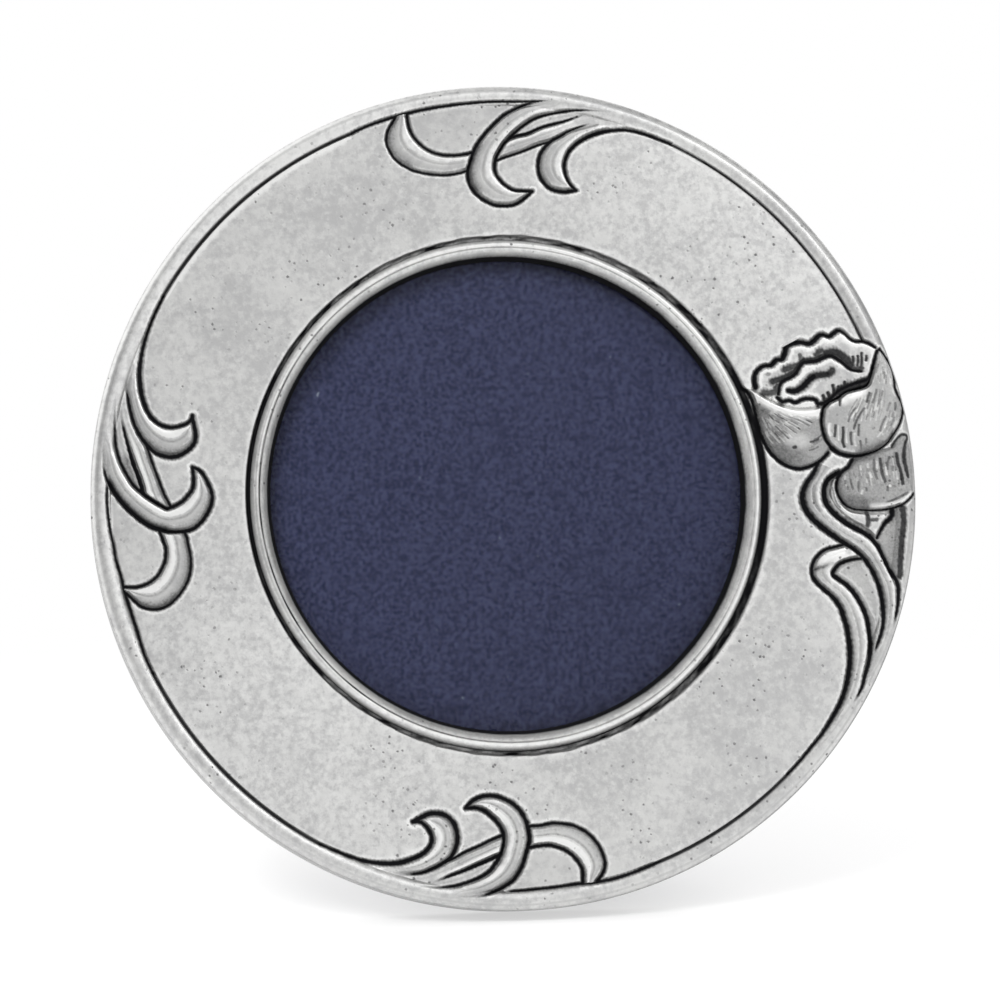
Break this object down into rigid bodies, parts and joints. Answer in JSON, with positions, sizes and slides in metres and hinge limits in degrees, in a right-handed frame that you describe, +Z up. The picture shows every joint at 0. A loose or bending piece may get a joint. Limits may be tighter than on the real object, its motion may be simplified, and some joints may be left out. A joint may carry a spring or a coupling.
{
  "type": "round photo frame",
  "caption": "Round cast-metal photo frame with raised flower and tendril ornament, beaded window, velvet back, turn buttons, hanging ring and hinged easel strut.",
  "frame": {"origin": "on the table under the middle of the standing frame's bounding box", "axes": "+Z up, the face looks towards -Y and leans back by 15 degrees, +X to the right of someone looking at the face"},
  "size_m": [0.11, 0.0354, 0.1077],
  "materials": {
    "pewter": "satin cast pewter, black patina left in the engraved lines",
    "glass": "clear float glass",
    "card": "matt navy photo card",
    "pad": "thin grey-brown pressing pad",
    "board": "dense pressed board",
    "velvet": "short dark blue pile",
    "brass": "pressed and lightly lacquered"
  },
  "bodies": {
    "frame": {"frame_casting": "pewter", "glass_disc": "glass", "photo_card": "card", "backing_pad": "pad", "back_board": "board", "back_velvet": "velvet", "turn_button_screws": "brass", "hinge_leaf_back": "brass", "hinge_pin": "brass", "hinge_rivets_back": "brass", "hanger_strap": "brass", "hanger_rivet": "brass"},
    "strut": {"strut_board": "board", "strut_velvet": "velvet", "hinge_leaf_strut": "brass", "hinge_rivets_strut": "brass"},
    "turn_button_1": {"turn_button_1": "brass"},
    "turn_button_2": {"turn_button_2": "brass"},
    "turn_button_3": {"turn_button_3": "brass"},
    "turn_button_4": {"turn_button_4": "brass"},
    "hanger_ring": {"hanger_ring": "brass"}
  },
  "joints": [
    {"name": "strut_hinge", "type": "hinge", "parent": "frame", "child": "strut", "pos_m": [0, 0.0084, 0.06617], "axis": [1, 0, 0], "range_deg": [-22, 0]},
    {"name": "turn_button_1_turn", "type": "hinge", "parent": "frame", "child": "turn_button_1", "pos_m": [0.03585, 0.01227, 0.08775], "axis": [0, -0.9659, 0.2588], "continuous": true},
    {"name": "turn_button_2_turn", "type": "hinge", "parent": "frame", "child": "turn_button_2", "pos_m": [-0.03585, 0.01227, 0.08775], "axis": [0, -0.9659, 0.2588], "continuous": true},
    {"name": "turn_button_3_turn", "type": "hinge", "parent": "frame", "child": "turn_button_3", "pos_m": [-0.03585, -0.00628, 0.0185], "axis": [0, -0.9659, 0.2588], "continuous": true},
    {"name": "turn_button_4_turn", "type": "hinge", "parent": "frame", "child": "turn_button_4", "pos_m": [0.03585, -0.00628, 0.0185], "axis": [0, -0.9659, 0.2588], "continuous": true},
    {"name": "hanger_swing", "type": "hinge", "parent": "frame", "child": "hanger_ring", "pos_m": [0, 0.01514, 0.09284], "axis": [1, 0, 0], "range_deg": [-12, 160]}
  ]
}
